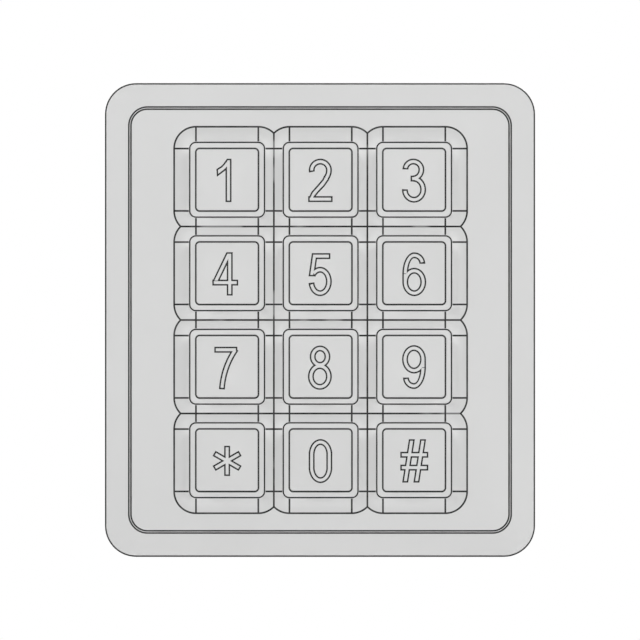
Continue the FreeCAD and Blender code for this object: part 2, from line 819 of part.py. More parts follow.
# ---- Tamper switch: a pin that the wall holds in, sprung from a small switch -------------------------
def tamper_switch():
    body = block(tamper_body_side, tamper_body_side, board_back + lead_gap, tamper_body_back, 0.4, tamper_x, tamper_z)
    button = disc(tamper_button_radius, tamper_body_back, tamper_button_end, tamper_x, tamper_z)
    return joined([body, button])


def tamper_plunger():
    stem = disc(plunger_radius, collar_back, -plunger_recess, tamper_x, tamper_z)
    stem = stem.makeFillet(0.4, front_edges(stem, -plunger_recess))
    collar = disc(plunger_collar_radius, collar_front, collar_back, tamper_x, tamper_z)
    return joined([collar, stem])


def tamper_spring():
    """A short coil between the switch's body and the plunger's collar, round the switch's button."""
    start = tamper_body_back + spring_gap + spring_wire_radius
    end = collar_front - spring_gap - spring_wire_radius
    radius = tamper_button_radius + spring_gap + 2 * spring_wire_radius
    path = Part.makeHelix((end - start) / spring_turns, end - start, radius)
    turns = [math.pi / 4 * k for k in range(9)]
    section = Part.makePolygon(
        [V(radius + spring_wire_radius * math.cos(a), 0, spring_wire_radius * math.sin(a)) for a in turns]
    )
    coil = Part.Wire(path.Edges).makePipeShell([section], True, True)
    coil.rotate(V(0, 0, 0), V(1, 0, 0), -90)
    coil.translate(V(tamper_x, start, tamper_z))
    return coil


# ---- Wall plate ------------------------------------------------------------------------------------
def hook(x):
    """A tab off the wall plate whose lip goes into a slot in the housing's upper wall."""
    top = cavity_height / 2 - hook_gap
    front = wall_plate_front - hook_reach
    stem = Part.makeBox(hook_width, hook_reach, hook_thickness, V(x - hook_width / 2, front, top - hook_thickness))
    lip = Part.makeBox(hook_width, hook_thickness, hook_lip, V(x - hook_width / 2, front, top - hook_gap))
    return [stem, lip]


def lug(x):
    """A block that takes a threaded insert for one lock screw."""
    corner = V(x - lug_width / 2, lug_front, lug_bottom)
    return Part.makeBox(lug_width, wall_plate_front - lug_front, lug_height, corner)


def foam_groove(front, back, slack=0.0):
    width = wall_plate_width - 2 * foam_inset + 2 * slack
    height = wall_plate_height - 2 * foam_inset + 2 * slack
    corner = wall_plate_corner - foam_inset + slack
    return ring(width, height, foam_width + 2 * slack, front, back, max(corner, 0.5))


def wall_plate():
    plate = block(wall_plate_width, wall_plate_height, wall_plate_front, 0, wall_plate_corner)
    raised = []
    for side in (-1, 1):
        raised += hook(side * hook_spread)
        raised.append(lug(side * lock_screw_spread))
    rib_reach = wall_plate_height / 2 - foam_inset - foam_width
    for x in (-1, 1):
        raised.append(block(rib_width, 1.4 * rib_reach, wall_plate_front - rib_height, wall_plate_front, 0,
                            x * (plunger_collar_radius + tamper_x + 2.0), 2.0))
    raised.append(block(2 * (tamper_x - plunger_collar_radius - 2.0), rib_width, wall_plate_front - rib_height,
                        wall_plate_front, 0, 0, terminal_z + terminal_depth))
    raised.append(disc(plunger_radius + plunger_gap + 1.0, wall_plate_front - rib_height, wall_plate_front,
                       tamper_x, tamper_z))
    plate = joined([plate, *raised])
    cuts = [foam_groove(-foam_depth, 1.0)]
    for z in (-wall_hole_z, wall_hole_z):
        cuts.append(disc(wall_hole_radius, wall_plate_front - 1, 1, 0, z))
        cuts.append(cone(wall_hole_radius + wall_hole_sink, wall_hole_radius, wall_plate_front,
                         wall_plate_front + wall_hole_sink, 0, z))
    cuts.append(disc(grommet_neck_radius, wall_plate_front - 1, 1, 0, cable_z))
    cuts.append(disc(grommet_flange_radius + grommet_gap, -grommet_flange_thickness, 1, 0, cable_z))
    cuts.append(disc(plunger_radius + plunger_gap, wall_plate_front - rib_height - 1, 1, tamper_x, tamper_z))
    for side in (-1, 1):
        foot = V(side * lock_screw_spread, lock_y, lug_bottom)
        cuts.append(Part.makeCylinder(insert_radius, lug_height, foot, UP))
    outer_x = wall_plate_width / 2 - foam_inset - foam_width - relief_margin
    inner_x = grommet_flange_radius + relief_margin
    for side in (-1, 1):
        cuts.append(block(outer_x - inner_x, 2 * inner_x, -relief_depth, 1, relief_margin,
                          side * (outer_x + inner_x) / 2, cable_z))
    return plate.cut(cuts)


def wall_gasket():
    return foam_groove(-foam_depth, 0, -0.05)


def cable_grommet():
    neck = grommet_neck_radius - 0.02
    inner_back = wall_plate_front - 0.02
    outline = [
        (cable_radius, 0),
        (grommet_flange_radius, 0),
        (grommet_flange_radius, -grommet_flange_thickness + 0.02),
        (neck, -grommet_flange_thickness + 0.02),
        (neck, inner_back),
        (grommet_flange_radius - 0.6, inner_back),
        (grommet_flange_radius - 1.2, inner_back - grommet_flange_thickness),
        (cable_radius, inner_back - grommet_flange_thickness),
    ]
    return turned(outline, 0, cable_z)


def threaded_inserts():
    bore = lock_screw_radius + insert_bore_gap
    inserts = []
    for side in (-1, 1):
        foot = V(side * lock_screw_spread, lock_y, lug_bottom)
        barrel = Part.makeCylinder(insert_radius - 0.02, lug_height, foot, UP)
        inserts.append(barrel.cut(Part.makeCylinder(bore, lug_height, foot, UP)))
    return Part.makeCompound(inserts)


def lock_screws():
    """Countersunk security screws with a six-lobed socket round a pin."""
    bottom = -housing_height / 2
    length = lug_top + lock_screw_tip - bottom
    socket_depth, lobe, pin = 1.1, 0.32, 0.4
    screws = []
    for side in (-1, 1):
        foot = V(side * lock_screw_spread, lock_y, bottom)
        shank = Part.makeCylinder(lock_screw_radius, length, foot, UP)
        head = Part.makeCone(lock_screw_head_radius, lock_screw_radius, lock_screw_head_height, foot, UP)
        socket = [Part.makeCylinder(1.0, socket_depth, foot, UP)]
        for k in range(6):
            a = math.pi / 3 * k
            socket.append(Part.makeCylinder(lobe, socket_depth, foot + V(math.cos(a), math.sin(a), 0), UP))
        screw = shank.fuse(head).removeSplitter().cut(joined(socket))
        screws.append(screw.fuse(Part.makeCylinder(pin, socket_depth, foot + V(0, 0, 0.15), UP)))
    return Part.makeCompound(screws)


# ---- Build -----------------------------------------------------------------------------------------
def make_parts():
    parts = {
        "housing": housing(),
        "face_plate": face_plate(),
        "plate_seal": plate_seal(),
        "plate_nuts": plate_nuts(),
        "keypad_mat": keypad_mat(),
        "contact_pills": contact_pills(),
        "circuit_board": circuit_board(),
        "board_screws": board_screws(),
        "backlight_lamps": backlight_lamps(),
        "controller_chip": controller_chip(),
        "chip_parts": chip_parts(),
        "crystal": crystal(),
        "voltage_regulator": voltage_regulator(),
        "capacitors": capacitors(),
        "buzzer": buzzer(),
        "terminal_block": terminal_block(),
        "terminal_screws": terminal_screws(),
        "tamper_switch": tamper_switch(),
        "tamper_plunger": tamper_plunger(),
        "tamper_spring": tamper_spring(),
        "wall_plate": wall_plate(),
        "wall_gasket": wall_gasket(),
        "cable_grommet": cable_grommet(),
        "threaded_inserts": threaded_inserts(),
        "lock_screws": lock_screws(),
    }
    blank = key_blank()
    for name, x, z in key_places:
        parts[f"key_{name}_cap"] = moved(key_cap(blank, name), x, z)
        parts[f"key_{name}_legend"] = moved(key_legend(name), x, z)
    return parts


def main():
    os.makedirs("parts", exist_ok=True)
    for name, shape in make_parts().items():
        volumes = [round(solid.Volume, 3) for solid in shape.Solids]
        print(name, "valid" if shape.isValid() else "INVALID", len(volumes), "solids", sum(volumes))
        shape.exportStep(f"parts/{name}.step")
    print("overall", housing_width, housing_height, -key_face)


main()
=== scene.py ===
import math

import bmesh
import bpy
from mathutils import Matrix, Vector


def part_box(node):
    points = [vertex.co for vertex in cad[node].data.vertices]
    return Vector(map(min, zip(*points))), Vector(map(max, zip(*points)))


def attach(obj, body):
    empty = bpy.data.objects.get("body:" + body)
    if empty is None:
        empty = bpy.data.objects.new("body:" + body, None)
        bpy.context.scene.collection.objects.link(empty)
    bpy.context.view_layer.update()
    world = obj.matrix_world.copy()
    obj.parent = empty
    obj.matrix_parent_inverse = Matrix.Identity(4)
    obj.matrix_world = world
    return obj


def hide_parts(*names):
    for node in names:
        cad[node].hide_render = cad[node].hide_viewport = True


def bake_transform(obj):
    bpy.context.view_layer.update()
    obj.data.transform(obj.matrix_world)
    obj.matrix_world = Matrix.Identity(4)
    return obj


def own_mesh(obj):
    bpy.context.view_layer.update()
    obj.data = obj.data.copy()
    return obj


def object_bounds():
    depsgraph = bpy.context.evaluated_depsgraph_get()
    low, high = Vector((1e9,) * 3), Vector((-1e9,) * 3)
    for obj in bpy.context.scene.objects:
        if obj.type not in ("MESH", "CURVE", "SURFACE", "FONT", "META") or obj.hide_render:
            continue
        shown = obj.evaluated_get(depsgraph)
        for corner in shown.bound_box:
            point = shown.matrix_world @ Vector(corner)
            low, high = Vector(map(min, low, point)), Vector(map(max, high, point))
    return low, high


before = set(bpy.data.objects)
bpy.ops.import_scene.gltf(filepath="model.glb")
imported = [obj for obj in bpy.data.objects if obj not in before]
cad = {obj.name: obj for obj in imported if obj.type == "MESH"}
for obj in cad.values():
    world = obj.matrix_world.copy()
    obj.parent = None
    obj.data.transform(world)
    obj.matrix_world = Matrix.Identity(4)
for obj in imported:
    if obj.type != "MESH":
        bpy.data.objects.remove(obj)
cad_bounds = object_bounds()

# ---- Housing --------------------------------------------------------------------------------------
# The box round the keypad: one moulding in light grey polycarbonate with a fine spark-eroded texture.
# A fine line of painted shade runs round the outer part of the rounded front edge, and another along the
# edge of the recess by the seam.
def finish(name, colour, roughness, **constants):
    """A new material with its shader, ready for its pattern; sizes in it are millimetres."""
    made = bpy.data.materials.new(name)
    made.use_nodes = True
    shader = made.node_tree.nodes["Principled BSDF"]
    shader.inputs["Base Color"].default_value = (*colour, 1.0)
    shader.inputs["Roughness"].default_value = roughness
    for socket, value in constants.items():
        shader.inputs[socket.replace("_", " ")].default_value = value
    place = made.node_tree.nodes.new("ShaderNodeTexCoord")
    scale = made.node_tree.nodes.new("ShaderNodeVectorMath")
    scale.operation = "SCALE"
    scale.inputs["Scale"].default_value = 1000.0
    made.node_tree.links.new(place.outputs["Object"], scale.inputs[0])
    return made, made.node_tree, shader, scale.outputs[0]


def calc(tree, operation, *terms):
    """One sum in a node tree; a term is a number or another node's output."""
    sum_node = tree.nodes.new("ShaderNodeMath")
    sum_node.operation = operation
    for socket, term in zip(sum_node.inputs, terms):
        if isinstance(term, (int, float)):
            socket.default_value = term
        else:
            tree.links.new(term, socket)
    return sum_node.outputs[0]


def fade(tree, value, start, end, low=0.0, high=1.0):
    """Runs smoothly from low to high as value goes from start to end."""
    ramp = tree.nodes.new("ShaderNodeMapRange")
    ramp.interpolation_type = "SMOOTHSTEP"
    for socket, term in zip(("From Min", "From Max", "To Min", "To Max"), (start, end, low, high)):
        ramp.inputs[socket].default_value = term
    tree.links.new(value, ramp.inputs["Value"])
    return ramp.outputs[0]


def axes(tree, vector):
    split = tree.nodes.new("ShaderNodeSeparateXYZ")
    tree.links.new(vector, split.inputs[0])
    return split.outputs


def noise(tree, vector, scale, detail=2.0, roughness=0.5):
    cloud = tree.nodes.new("ShaderNodeTexNoise")
    cloud.inputs["Scale"].default_value = scale
    cloud.inputs["Detail"].default_value = detail
    cloud.inputs["Roughness"].default_value = roughness
    tree.links.new(vector, cloud.inputs["Vector"])
    return cloud.outputs[0]


def tinted(tree, shader, amount, colour):
    """Lays a colour over the shader's own, as strongly as amount says at each point."""
    mix = tree.nodes.new("ShaderNodeMix")
    mix.data_type = "RGBA"
    under = shader.inputs["Base Color"]
    if under.is_linked:
        tree.links.new(under.links[0].from_socket, mix.inputs["A"])
    else:
        mix.inputs["A"].default_value = under.default_value[:]
    mix.inputs["B"].default_value = (*colour, 1.0)
    tree.links.new(amount, mix.inputs["Factor"])
    tree.links.new(mix.outputs["Result"], under)


def raised(tree, shader, height, depth_mm, strength):
    """Turns a height pattern into the surface's relief."""
    bump = tree.nodes.new("ShaderNodeBump")
    bump.inputs["Strength"].default_value = strength
    bump.inputs["Distance"].default_value = depth_mm / 1000
    tree.links.new(height, bump.inputs["Height"])
    tree.links.new(bump.outputs[0], shader.inputs["Normal"])


def effect(name, inputs, outputs):
    """A shared shading effect: a node group with named number inputs and outputs."""
    group = bpy.data.node_groups.new(name, "ShaderNodeTree")
    for socket, kind in inputs:
        group.interface.new_socket(socket, in_out="INPUT", socket_type=kind)
    for socket in outputs:
        group.interface.new_socket(socket, in_out="OUTPUT", socket_type="NodeSocketFloat")
    return group, group.nodes.new("NodeGroupInput").outputs, group.nodes.new("NodeGroupOutput").inputs


def used(tree, group, **links):
    """Puts a shared effect in a material; each input is a number or another node's output."""
    held = tree.nodes.new("ShaderNodeGroup")
    held.node_tree = group
    for socket, term in links.items():
        target = held.inputs[socket.replace("_", " ")]
        if isinstance(term, (int, float)):
            target.default_value = term
        else:
            tree.links.new(term, target)
    return held.outputs


# moulded texture: fine grains, with slow cloudy changes of gloss and shade over them
moulded, ins, outs = effect(
    "moulded_texture",
    [("Place", "NodeSocketVector"), ("Grain", "NodeSocketFloat")],
    ["Height", "Shade"],
)
fine = moulded.nodes.new("ShaderNodeTexNoise")
fine.inputs["Detail"].default_value = 3.0
fine.inputs["Roughness"].default_value = 0.65
moulded.links.new(ins["Place"], fine.inputs["Vector"])
moulded.links.new(ins["Grain"], fine.inputs["Scale"])
moulded.links.new(fine.outputs[0], outs["Height"])
moulded.links.new(noise(moulded, ins["Place"], 0.06, 4.0, 0.6), outs["Shade"])

# distance in millimetres from the outline of a rounded rectangle, below nought inside it
outline, ins, outs = effect(
    "rounded_outline",
    [("U", "NodeSocketFloat"), ("V", "NodeSocketFloat"), ("Flat U", "NodeSocketFloat"),
     ("Flat V", "NodeSocketFloat"), ("Corner", "NodeSocketFloat")],
    ["Distance"],
)
squares = []
for side in ("U", "V"):
    past_flat = calc(outline, "SUBTRACT", calc(outline, "ABSOLUTE", ins[side]), ins["Flat " + side])
    past_flat = calc(outline, "MAXIMUM", past_flat, 0.0)
    squares.append(calc(outline, "MULTIPLY", past_flat, past_flat))
reach = calc(outline, "SQRT", calc(outline, "ADD", *squares))
outline.links.new(calc(outline, "SUBTRACT", reach, ins["Corner"]), outs["Distance"])


def from_outline(tree, across, up, half_u, half_v, corner):
    """Distance from a rounded rectangle with these half sizes, in millimetres."""
    return used(tree, outline, U=across, V=up, Flat_U=half_u - corner, Flat_V=half_v - corner,
                Corner=corner)["Distance"]


def dress(material, *pieces):
    """Gives the named CAD pieces their finish."""
    for piece in pieces:
        cad[piece].data.materials.clear()
        cad[piece].data.materials.append(material)


def gloss(tree, shader, roughness):
    tree.links.new(roughness, shader.inputs["Roughness"])


# near-black: the painted shade along edges, creases and gaps, and the real ink in the legend grooves
shade_and_ink_black = (0.008, 0.008, 0.008)
shell_low, shell_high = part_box("housing")
plate_low, plate_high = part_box("face_plate")
seam = 0.3
shell_corner, shell_edge_round, plate_corner = 5.0, 0.35, 2.7
plate_half_u = (plate_high.x - plate_low.x) * 500
plate_half_v = (plate_high.z - plate_low.z) * 500
shell_half_u = (shell_high.x - shell_low.x) * 500
shell_half_v = (shell_high.z - shell_low.z) * 500
shell_front = shell_low.y * 1000

housing_plastic, tree, shader, place = finish("textured_polycarbonate", (0.665, 0.665, 0.662), 0.52,
                                                Specular_IOR_Level=0.32)
texture = used(tree, moulded, Place=place, Grain=5.5)
tinted(tree, shader, fade(tree, texture["Shade"], 0.35, 0.75, 0.0, 0.05), (0.60, 0.60, 0.585))
x, y, z = axes(tree, place)
rim = from_outline(tree, x, z, shell_half_u, shell_half_v, shell_corner)
recess = from_outline(tree, x, z, plate_half_u + seam, plate_half_v + seam, plate_corner + seam)
round_end = shell_front + shell_edge_round
# painted shade: a near-black line on the outer part of the front edge's rounding, and one along the recess
# edge by the seam
painted_edge_shade = calc(tree, "MULTIPLY", fade(tree, rim, -0.25, -0.21), fade(tree, y, round_end + 0.03, round_end))
recess_seam_shade = calc(tree, "MULTIPLY", fade(tree, recess, 0.14, 0.17, 1.0, 0.0),
                   fade(tree, recess, -0.05, -0.03))
rubbed = calc(tree, "MULTIPLY", fade(tree, rim, -1.2, -0.3),
              fade(tree, noise(tree, place, 0.35, 4.0, 0.7), 0.45, 0.7))
tinted(tree, shader, calc(tree, "MULTIPLY", rubbed, 0.2), (0.70, 0.70, 0.695))
tinted(tree, shader, calc(tree, "MULTIPLY", calc(tree, "MAXIMUM", painted_edge_shade, recess_seam_shade), 0.98), shade_and_ink_black)
gloss(tree, shader, calc(tree, "SUBTRACT", fade(tree, texture["Shade"], 0.3, 0.8, 0.50, 0.58),
                         calc(tree, "MULTIPLY", rubbed, 0.10)))
raised(tree, shader, texture["Height"], 0.05, 0.18)
dress(housing_plastic, "housing")

# ---- Face plate -----------------------------------------------------------------------------------
# A die-cast zinc plate, powder coated in the housing's grey, set in the front with an even seam round it.
# Each key sits in a dish that the finger follows; painted shade lines the dishes' edges, ridges and blends
# and the plate's edge, and the dishes are painted lighter to cancel their shade.
key_names = ["1", "2", "3", "4", "5", "6", "7", "8", "9", "star", "0", "hash"]


def middle(node_name):
    low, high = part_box(node_name)
    return (low + high) * 500


key_pitch = (middle("key_2_cap") - middle("key_1_cap")).x
key_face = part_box("key_5_cap")[0].y * 1000
field_middle = middle("key_5_cap").x

# the place of a point in the cell of the key nearest to it, in millimetres
cell, ins, outs = effect(
    "key_cell",
    [("Place", "NodeSocketVector"), ("Pitch", "NodeSocketFloat"), ("Middle", "NodeSocketFloat"),
     ("Face", "NodeSocketFloat")],
    ["U", "V", "Depth"],
)
split = axes(cell, ins["Place"])
across = calc(cell, "SUBTRACT", split[0], ins["Middle"])
column = calc(cell, "ROUND", calc(cell, "DIVIDE", across, ins["Pitch"]))
column = calc(cell, "MINIMUM", calc(cell, "MAXIMUM", column, -1.0), 1.0)
row = calc(cell, "ADD", calc(cell, "FLOOR", calc(cell, "DIVIDE", split[2], ins["Pitch"])), 0.5)
row = calc(cell, "MINIMUM", calc(cell, "MAXIMUM", row, -1.5), 1.5)
cell.links.new(calc(cell, "SUBTRACT", across, calc(cell, "MULTIPLY", column, ins["Pitch"])), outs["U"])
cell.links.new(calc(cell, "SUBTRACT", split[2], calc(cell, "MULTIPLY", row, ins["Pitch"])), outs["V"])
cell.links.new(calc(cell, "SUBTRACT", split[1], ins["Face"]), outs["Depth"])

dish_flat, dish_corner, hole_half = 5.0, 3.5, 6.1
line_core, line_end = 0.12, 0.16


def line_at(tree, value, where):
    """A fine line where value is at the given place."""
    beside = calc(tree, "ABSOLUTE", calc(tree, "SUBTRACT", value, where))
    return fade(tree, beside, line_core, line_end, 1.0, 0.0)


plate_coat, tree, shader, place = finish("powder_coat", (0.665, 0.665, 0.662), 0.50, Coat_Weight=0.03,
                                         Coat_Roughness=0.45, Specular_IOR_Level=0.32)
local = used(tree, cell, Place=place, Pitch=key_pitch, Middle=field_middle, Face=plate_low.y * 1000)
x, y, z = axes(tree, place)
u, v = calc(tree, "ABSOLUTE", local["U"]), calc(tree, "ABSOLUTE", local["V"])
dish_half = dish_flat + dish_corner
dish = from_outline(tree, local["U"], local["V"], dish_half, dish_half, dish_corner)
# painted shade: fine near-black lines along the dish rims, the ridges between dishes, the blend lines and
# the plate's edge; noise breaks the ridge lines up a little
rim_line = line_at(tree, dish, 0.0)
in_dish = fade(tree, dish, -0.05, 0.0, 1.0, 0.0)
ridge_u = calc(tree, "MULTIPLY", line_at(tree, u, key_pitch / 2),
               fade(tree, calc(tree, "ABSOLUTE", x), key_pitch, key_pitch + 1.0, 1.0, 0.0))
ridge_v = calc(tree, "MULTIPLY", line_at(tree, v, key_pitch / 2),
               fade(tree, calc(tree, "ABSOLUTE", z), 2 * key_pitch - 1.0, 2 * key_pitch - 0.5, 1.0, 0.0))
blend_u = calc(tree, "MULTIPLY", line_at(tree, u, dish_flat), fade(tree, v, hole_half, hole_half + 0.1))
blend_v = calc(tree, "MULTIPLY", line_at(tree, v, dish_flat), fade(tree, u, hole_half, hole_half + 0.1))
shade_breaks = fade(tree, noise(tree, place, 0.12, 2.0, 0.5), 0.36, 0.44, 0.7, 1.0)
ridges = calc(tree, "MULTIPLY", calc(tree, "MAXIMUM", ridge_u, ridge_v), shade_breaks)
blends = calc(tree, "MAXIMUM", blend_u, blend_v)
inner_lines = calc(tree, "MULTIPLY", calc(tree, "MAXIMUM", ridges, blends), in_dish)
edge = from_outline(tree, x, z, plate_half_u, plate_half_v, plate_corner)
painted_crease_shade = calc(tree, "MAXIMUM", calc(tree, "MAXIMUM", rim_line, inner_lines), fade(tree, edge, -0.17, -0.14))
patchy = fade(tree, noise(tree, place, 0.4, 3.0, 0.6), 0.3, 0.7, 0.94, 1.0)
texture = used(tree, moulded, Place=place, Grain=2.6)
tinted(tree, shader, fade(tree, texture["Shade"], 0.35, 0.75, 0.0, 0.04), (0.60, 0.60, 0.588))
# painted light: the dishes are painted lighter towards the keys to cancel the shade that falls in them
tinted(tree, shader, fade(tree, dish, -2.6, -0.2, 1.0, 0.0), (0.83, 0.83, 0.827))
# painted shade: the near-black crease and edge lines are laid on here
tinted(tree, shader, calc(tree, "MULTIPLY", painted_crease_shade, patchy), shade_and_ink_black)
gloss(tree, shader, calc(tree, "ADD", fade(tree, texture["Shade"], 0.3, 0.8, 0.50, 0.57),
                         calc(tree, "MULTIPLY", painted_crease_shade, 0.2)))
raised(tree, shader, texture["Height"], 0.03, 0.16)
dress(plate_coat, "face_plate")

# ---- Seal and nuts --------------------------------------------------------------------------------
# A die-cut film of black closed-cell foam seals the plate's rear, and four zinc-plated nuts on its cast
# studs pull it down. A thin grey silicone cord is pressed into the seam, with painted shade along both its
# sides.
foam_black, tree, shader, place = finish("closed_cell_foam", (0.018, 0.018, 0.019), 0.92)
bubbles = tree.nodes.new("ShaderNodeTexVoronoi")
bubbles.inputs["Scale"].default_value = 2.2
tree.links.new(place, bubbles.inputs["Vector"])
raised(tree, shader, bubbles.outputs["Distance"], 0.12, 0.6)
tinted(tree, shader, fade(tree, bubbles.outputs["Distance"], 0.0, 0.35, 0.0, 0.5), (0.035, 0.035, 0.037))

plated_steel, tree, shader, place = finish("zinc_plated_steel", (0.60, 0.60, 0.58), 0.34, Metallic=1.0)
gloss(tree, shader, fade(tree, noise(tree, place, 1.8, 5.0, 0.7), 0.3, 0.7, 0.26, 0.46))
tinted(tree, shader, fade(tree, noise(tree, place, 0.7, 3.0), 0.4, 0.8, 0.0, 0.5), (0.50, 0.52, 0.55))
raised(tree, shader, noise(tree, place, 9.0, 3.0), 0.01, 0.3)
dress(foam_black, "plate_seal")
dress(plated_steel, "plate_nuts")


def new_piece(name, mesh, body, material):
    """A piece of its own with its finish, tied to its body when one is given."""
    piece = bpy.data.objects.new(name, mesh)
    bpy.context.collection.objects.link(piece)
    mesh.materials.clear()
    mesh.materials.append(material)
    if body:
        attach(piece, body)
    return piece


def rule(name, inputs):
    """A new Geometry Nodes tree with named number inputs and a geometry output, returned with its inputs.
    """
    grown = bpy.data.node_groups.new(name, "GeometryNodeTree")
    for socket, kind, value in inputs:
        made = grown.interface.new_socket(socket, in_out="INPUT", socket_type=kind)
        made.default_value = value
    grown.interface.new_socket("Geometry", in_out="OUTPUT", socket_type="NodeSocketGeometry")
    grown.nodes.new("NodeGroupOutput")
    return grown, grown.nodes.new("NodeGroupInput").outputs


def step(grown, kind, links=None, **settings):
    """One node of a rule; links maps an input's name to a number or to another node's output."""
    made = grown.nodes.new(kind)
    for setting, value in settings.items():
        setattr(made, setting, value)
    for socket, term in (links or {}).items():
        target = made.inputs[socket]
        if isinstance(term, bpy.types.NodeSocket):
            grown.links.new(term, target)
        else:
            target.default_value = term
    return made.outputs


def grown_piece(name, grown, last, material, values, body):
    """Ends the rule in real, painted faces and turns its result into a plain mesh of its own."""
    out = next(n for n in grown.nodes if n.bl_idname == "NodeGroupOutput").inputs["Geometry"]
    real = step(grown, "GeometryNodeRealizeInstances", {"Geometry": last})["Geometry"]
    painted = step(grown, "GeometryNodeSetMaterial", {"Geometry": real, "Material": material})["Geometry"]
    grown.links.new(painted, out)
    carrier = bpy.data.objects.new(name + "_carrier", bpy.data.meshes.new(name + "_carrier"))
    bpy.context.collection.objects.link(carrier)
    maker = carrier.modifiers.new("rule", "NODES")
    maker.node_group = grown
    for socket in grown.interface.items_tree:
        if socket.in_out == "INPUT" and socket.name in values:
            maker[socket.identifier] = values[socket.name]
    seen_whole = carrier.evaluated_get(bpy.context.evaluated_depsgraph_get())
    mesh = bpy.data.meshes.new_from_object(seen_whole)
    carrier.modifiers.clear()
    bpy.data.objects.remove(carrier)
    mesh.name = name
    return new_piece(name, mesh, body, material)


cord_grey, tree, shader, place = finish("seam_silicone", (0.72, 0.72, 0.715), 0.5,
                                        Specular_IOR_Level=0.32)
x, y, z = axes(tree, place)
seam_middle = seam / 2
seam_line = from_outline(tree, x, z, plate_half_u + seam_middle, plate_half_v + seam_middle,
                         plate_corner + seam_middle)
# painted shade: the cord's two flanks are painted near-black for the shade in the seam on either side of it
beside = fade(tree, calc(tree, "ABSOLUTE", seam_line), 0.04, 0.065)
patchy = fade(tree, noise(tree, place, 0.5, 3.0), 0.3, 0.7, 0.92, 1.0)
tinted(tree, shader, calc(tree, "MULTIPLY", beside, patchy), shade_and_ink_black)
raised(tree, shader, noise(tree, place, 5.0, 3.0), 0.02, 0.2)
cord, ins = rule("seam_cord", [
    ("Width", "NodeSocketFloat", 0.061), ("Height", "NodeSocketFloat", 0.068),
    ("Corner", "NodeSocketFloat", 0.003), ("Cord Radius", "NodeSocketFloat", 0.000145),
    ("Depth", "NodeSocketFloat", -0.0218),
])
loop = step(cord, "GeometryNodeCurvePrimitiveQuadrilateral",
            {"Width": ins["Width"], "Height": ins["Height"]})["Curve"]
loop = step(cord, "GeometryNodeFilletCurve", {"Curve": loop, "Count": 8, "Radius": ins["Corner"]},
            mode="POLY")["Curve"]
depth = step(cord, "ShaderNodeCombineXYZ", {"Y": ins["Depth"]})[0]
loop = step(cord, "GeometryNodeTransform", {"Geometry": loop, "Translation": depth,
                                            "Rotation": (math.pi / 2, 0.0, 0.0)})["Geometry"]
section = step(cord, "GeometryNodeCurvePrimitiveCircle",
               {"Resolution": 12, "Radius": ins["Cord Radius"]})["Curve"]
laid = step(cord, "GeometryNodeCurveToMesh", {"Curve": loop, "Profile Curve": section})["Mesh"]
laid = step(cord, "GeometryNodeSetShadeSmooth", {"Geometry": laid})["Geometry"]
cord_radius, cord_recess = seam / 2000 - 0.000005, 0.00006
grown_piece("seam_cord", cord, laid, cord_grey, {
    "Width": (2 * plate_half_u + seam) / 1000,
    "Height": (2 * plate_half_v + seam) / 1000,
    "Corner": (plate_corner + seam / 2) / 1000,
    "Cord Radius": cord_radius,
    "Depth": plate_low.y + cord_recess + cord_radius,
}, "housing_body")

# ---- Keys and their legends -----------------------------------------------------------------------
# Twelve moulded key caps in satin light grey, each with a raised square top. The numeral is a separate
# shot of plastic let into the top, with a thin inked groove round it; fingers polish the middle. Painted
# shade darkens the foot of the raised top and the gap round the key, and the ledge is painted lighter to
# cancel its shade.
ledge_depth = 1.8
top_half, top_corner = 4.9, 0.5
pocket_reach, gap_inner, gap_outer = 4.45, 5.4, 6.3

key_satin, tree, shader, place = finish("satin_key_plastic", (0.660, 0.660, 0.657), 0.50,
                                        Specular_IOR_Level=0.32)
local = used(tree, cell, Place=place, Pitch=key_pitch, Middle=field_middle, Face=key_face)
texture = used(tree, moulded, Place=place, Grain=7.0)
top_line = from_outline(tree, local["U"], local["V"], top_half, top_half, top_corner)
farthest = calc(tree, "MAXIMUM", calc(tree, "ABSOLUTE", local["U"]), calc(tree, "ABSOLUTE", local["V"]))
in_pocket = calc(tree, "MULTIPLY", fade(tree, farthest, pocket_reach, pocket_reach + 0.05, 1.0, 0.0),
                 fade(tree, local["Depth"], 0.06, 0.12))
# painted shade: near-black at the foot of the raised top, on the ledge next to it
foot = calc(tree, "MULTIPLY", fade(tree, top_line, 0.24, 0.28, 1.0, 0.0),
            fade(tree, local["Depth"], ledge_depth - 0.4, ledge_depth - 0.1))
beside_body = calc(tree, "MULTIPLY", fade(tree, farthest, gap_inner, gap_inner + 0.1),
                   fade(tree, farthest, gap_outer - 0.1, gap_outer, 1.0, 0.0))
# painted shade: near-black down in the gap round the key, on the body's sides and the flange
painted_gap_shade = calc(tree, "MULTIPLY", fade(tree, local["Depth"], ledge_depth + 0.15, ledge_depth + 0.4),
              beside_body)
tinted(tree, shader, fade(tree, texture["Shade"], 0.35, 0.75, 0.0, 0.04), (0.60, 0.60, 0.588))
# painted light: the ledge round the raised top, and what lies deeper, is painted lighter to cancel the
# shade on it
tinted(tree, shader, fade(tree, local["Depth"], 1.0, 1.6), (0.725, 0.725, 0.722))
tinted(tree, shader, calc(tree, "MULTIPLY", calc(tree, "MAXIMUM", foot, painted_gap_shade), 0.98), shade_and_ink_black)
tinted(tree, shader, in_pocket, shade_and_ink_black)
centre_distance = calc(tree, "SQRT", calc(tree, "ADD", calc(tree, "MULTIPLY", local["U"], local["U"]),
                                          calc(tree, "MULTIPLY", local["V"], local["V"])))
polish = calc(tree, "MULTIPLY", fade(tree, centre_distance, 1.0, 4.6, 1.0, 0.0),
              fade(tree, local["Depth"], 0.2, 0.5, 1.0, 0.0))
smudge = fade(tree, noise(tree, place, 0.5, 4.0, 0.6), 0.35, 0.7)
smoothed = calc(tree, "MULTIPLY", calc(tree, "MULTIPLY", polish, smudge), 0.10)
